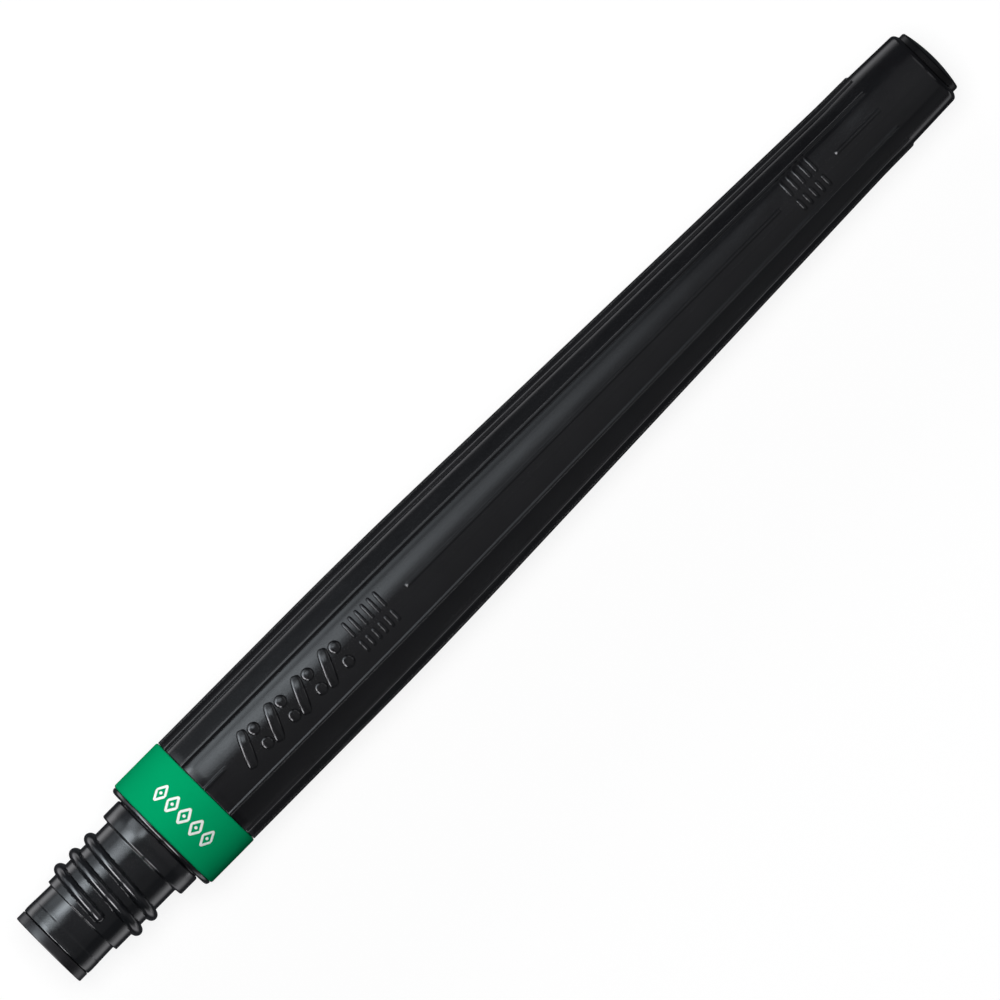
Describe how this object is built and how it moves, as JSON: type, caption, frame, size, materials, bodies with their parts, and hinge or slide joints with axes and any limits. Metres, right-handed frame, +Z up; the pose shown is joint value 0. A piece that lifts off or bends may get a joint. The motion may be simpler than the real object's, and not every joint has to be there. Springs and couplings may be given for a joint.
{
  "type": "brush pen ink refill",
  "caption": "Squeeze-barrel ink refill for a brush pen: ribbed tapering tube with a plugged left-hand screw neck, a colour ring and a domed tail plug.",
  "frame": {"origin": "centre of the mouth, on the refill's axis, where the brush head's feed pipe goes in", "axes": "+X along the axis from the mouth to the tail, +Z up through the top rib and the raised marks"},
  "size_m": [0.1154, 0.0126, 0.0126],
  "materials": {
    "barrel_plastic": "satin black moulded plastic",
    "neck_plastic": "glossy black moulded plastic",
    "ring_plastic": "green plastic with white printed marks",
    "plug_plastic": "matt soft black plastic",
    "ball_steel": "polished steel",
    "tail_plastic": "satin black moulded plastic"
  },
  "bodies": {
    "refill": {"barrel": "barrel_plastic", "neck_fitting": "neck_plastic", "colour_ring": "ring_plastic", "mouth_plug": "plug_plastic", "tail_plug": "tail_plastic"},
    "ball": {"seal_ball": "ball_steel"}
  },
  "joints": [
    {"name": "ball_push", "type": "slide", "parent": "refill", "child": "ball", "axis": [1, 0, 0], "range_m": [0, 0.1065]}
  ]
}
